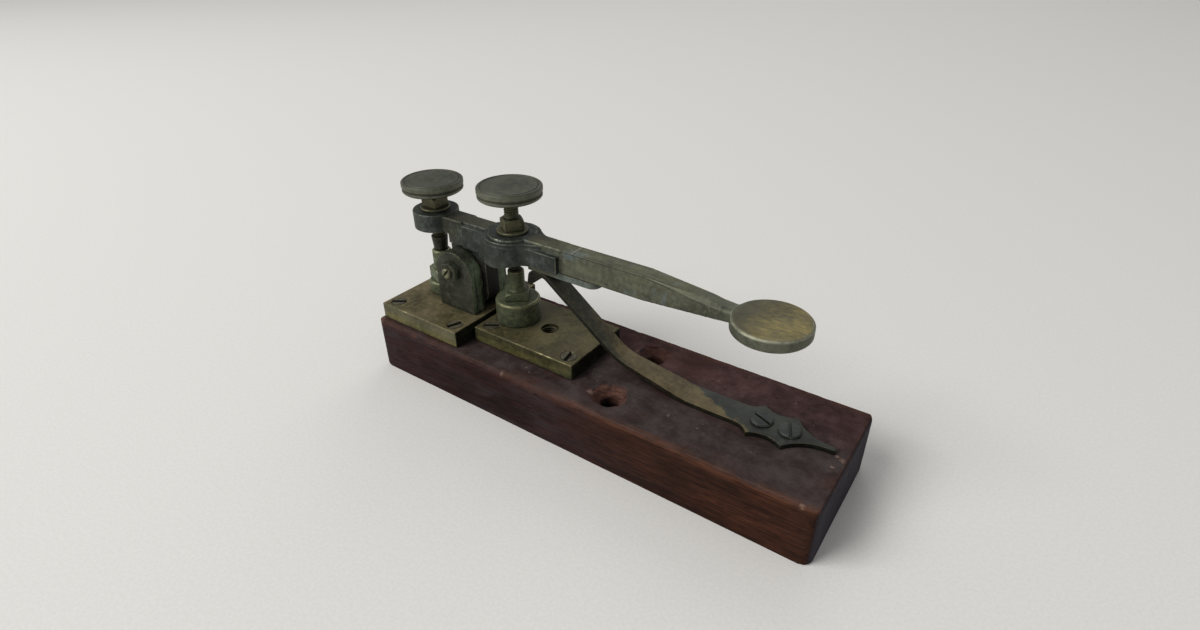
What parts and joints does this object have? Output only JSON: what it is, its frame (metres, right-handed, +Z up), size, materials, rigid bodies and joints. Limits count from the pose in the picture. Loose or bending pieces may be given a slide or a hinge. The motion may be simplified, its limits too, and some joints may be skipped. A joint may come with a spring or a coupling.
{
  "type": "telegraph key",
  "caption": "Straight-lever telegraph key on a wooden base, with a finger disc, trunnion bearing, knobbed contact adjusting screws, anvils and a leaf return spring.",
  "frame": {"origin": "centre of the wooden base's underside", "axes": "+X along the base from the adjusting knobs at the rear to the finger disc at the front, +Y across the base, +Z up"},
  "size_m": [0.2, 0.057, 0.089],
  "materials": {
    "mahogany": "worn, waxed dark mahogany with grime on its top",
    "plate_brass": "worn brass with a dull tan and olive patina",
    "bearing_bronze": "dark grey-green patina with scuffs",
    "lever_brass": "aged brass with blue-grey patina on the cheeks",
    "knob_brass": "grey-olive patina with rubbed rims",
    "anvil_brass": "greenish patina",
    "screw_steel": "dull, darkened steel",
    "contact_metal": "dark, worn contact metal",
    "spring_brass": "spring brass, grey at the top, tan in the middle and dark at the foot"
  },
  "bodies": {
    "base": {"base": "mahogany", "rear_plate": "plate_brass", "front_plate": "plate_brass", "near_bearing_block": "bearing_bronze", "far_bearing_block": "bearing_bronze", "rear_anvil_collar": "anvil_brass", "rear_anvil_nut": "anvil_brass", "rear_anvil_stud": "anvil_brass", "front_anvil_drum": "anvil_brass", "front_anvil_nut": "anvil_brass", "front_anvil_stud": "anvil_brass", "rear_plate_screws": "screw_steel", "front_plate_screws": "screw_steel", "bearing_block_screws": "screw_steel", "near_pivot_screw": "screw_steel", "far_pivot_screw": "screw_steel", "near_pivot_nut": "screw_steel", "far_pivot_nut": "screw_steel", "spring_screws": "screw_steel", "rear_anvil_button": "contact_metal", "front_anvil_button": "contact_metal", "leaf_spring": "spring_brass"},
    "lever": {"lever": "lever_brass", "wear_plate": "lever_brass", "wear_plate_screw": "screw_steel"},
    "rear_tip": {"rear_contact_tip": "contact_metal"},
    "rear_screw": {"rear_adjusting_screw": "knob_brass", "rear_knob": "knob_brass"},
    "rear_washer": {"rear_lock_washer": "knob_brass"},
    "rear_nut": {"rear_lock_nut": "knob_brass"},
    "front_tip": {"front_contact_tip": "contact_metal"},
    "front_screw": {"front_adjusting_screw": "knob_brass", "front_knob": "knob_brass"},
    "front_washer": {"front_lock_washer": "knob_brass"},
    "front_nut": {"front_lock_nut": "knob_brass"}
  },
  "joints": [
    {"name": "lever_pivot", "type": "hinge", "parent": "base", "child": "lever", "pos_m": [-0.0668, 0, 0.0497], "axis": [0, 1, 0], "range_deg": [0, 2.2], "stiffness_Nm_per_rad": 3, "springref_deg": -6.88, "deforming": ["leaf_spring"]},
    {"name": "rear_screw_travel", "type": "slide", "parent": "lever", "child": "rear_tip", "axis": [0, 0, 1], "range_m": [0, 0.002]},
    {"name": "rear_knob_turn", "type": "hinge", "parent": "rear_tip", "child": "rear_screw", "pos_m": [-0.0845, 0, 0.07], "axis": [0, 0, 1], "range_deg": [0, 720]},
    {"name": "rear_lock_turn", "type": "hinge", "parent": "lever", "child": "rear_washer", "pos_m": [-0.0845, 0, 0.07], "axis": [0, 0, 1], "range_deg": [0, 360]},
    {"name": "rear_lock_rise", "type": "slide", "parent": "rear_washer", "child": "rear_nut", "axis": [0, 0, 1], "range_m": [0, 0.001]},
    {"name": "front_screw_travel", "type": "slide", "parent": "lever", "child": "front_tip", "axis": [0, 0, 1], "range_m": [0, 0.002]},
    {"name": "front_knob_turn", "type": "hinge", "parent": "front_tip", "child": "front_screw", "pos_m": [-0.0412, 0, 0.07], "axis": [0, 0, 1], "range_deg": [0, 720]},
    {"name": "front_lock_turn", "type": "hinge", "parent": "lever", "child": "front_washer", "pos_m": [-0.0412, 0, 0.07], "axis": [0, 0, 1], "range_deg": [0, 360]},
    {"name": "front_lock_rise", "type": "slide", "parent": "front_washer", "child": "front_nut", "axis": [0, 0, 1], "range_m": [0, 0.001]}
  ],
  "couplings": [
    {"joint": "rear_knob_turn", "follows": "rear_screw_travel", "rad_per_m": 6283.2},
    {"joint": "rear_lock_turn", "follows": "rear_lock_rise", "rad_per_m": 6283.2},
    {"joint": "front_knob_turn", "follows": "front_screw_travel", "rad_per_m": 6283.2},
    {"joint": "front_lock_turn", "follows": "front_lock_rise", "rad_per_m": 6283.2}
  ]
}
